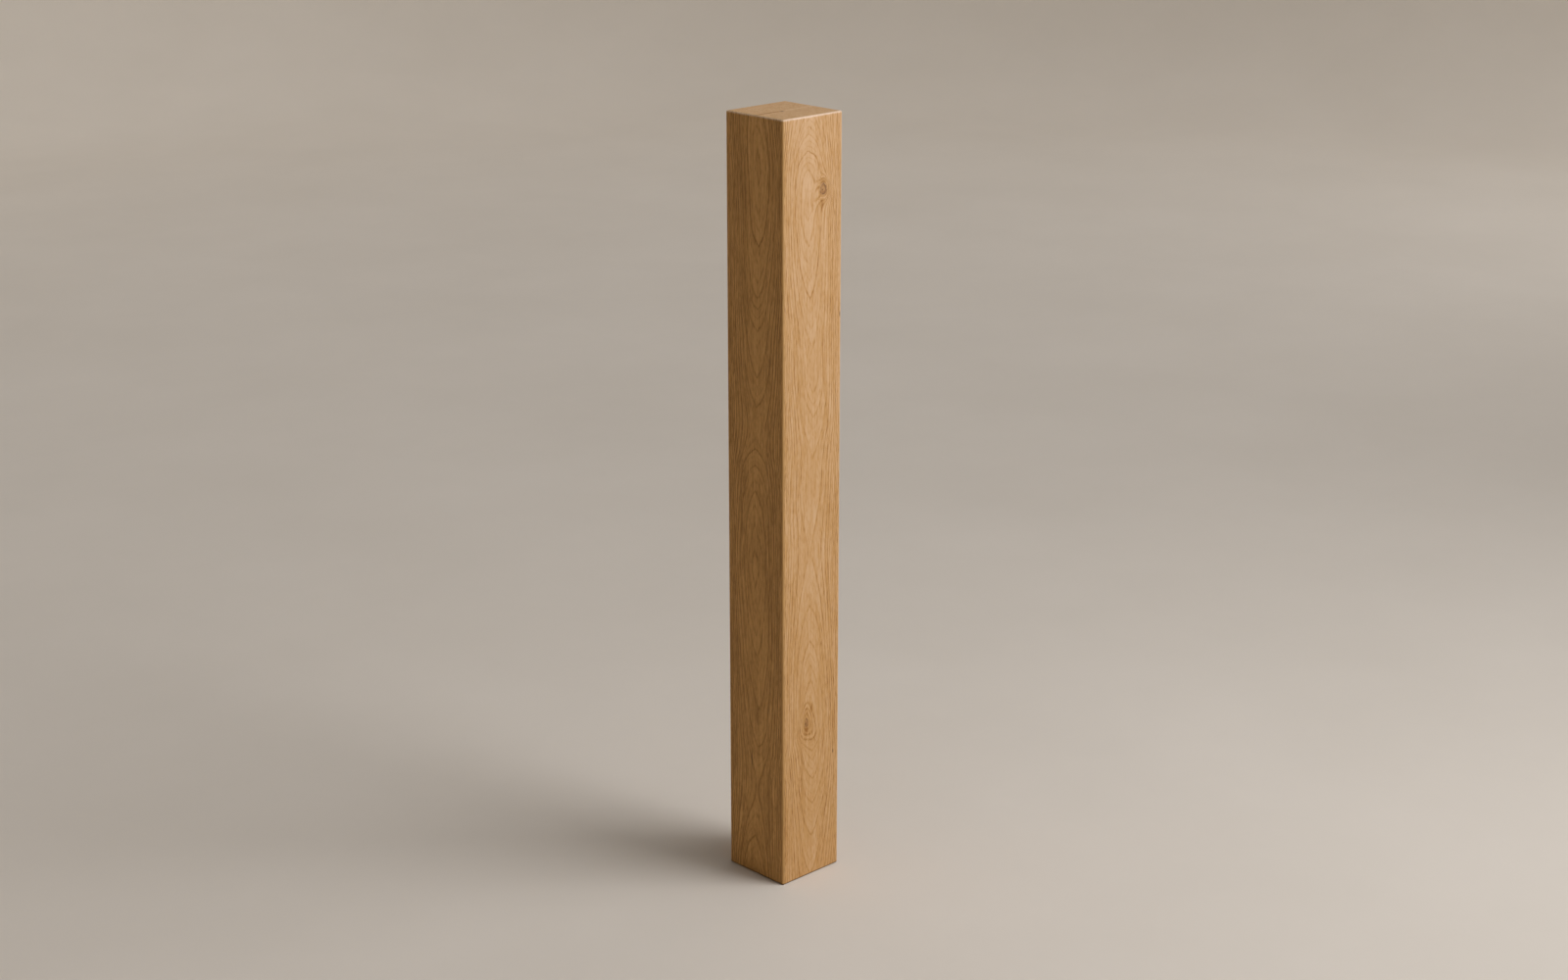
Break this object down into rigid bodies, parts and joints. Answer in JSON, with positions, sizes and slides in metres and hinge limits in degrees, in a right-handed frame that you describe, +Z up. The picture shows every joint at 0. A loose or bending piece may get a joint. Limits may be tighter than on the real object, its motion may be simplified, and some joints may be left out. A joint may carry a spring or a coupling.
{
  "type": "wooden post",
  "caption": "Square post of solid oak, planed on all sides with eased edges, that stands on its own sawn foot.",
  "frame": {"origin": "middle of the foot, on the surface that the post stands on", "axes": "+Z up along the post's length; the face with the two knots looks towards -Y, and the plain face beside it, on its left, towards -X"},
  "size_m": [0.09, 0.09, 0.9],
  "materials": {
    "oiled_oak": "solid oak, planed and lightly brushed along the grain, sanded eased edges, matt oil"
  },
  "bodies": {
    "root": {"post": "oiled_oak"}
  },
  "joints": []
}
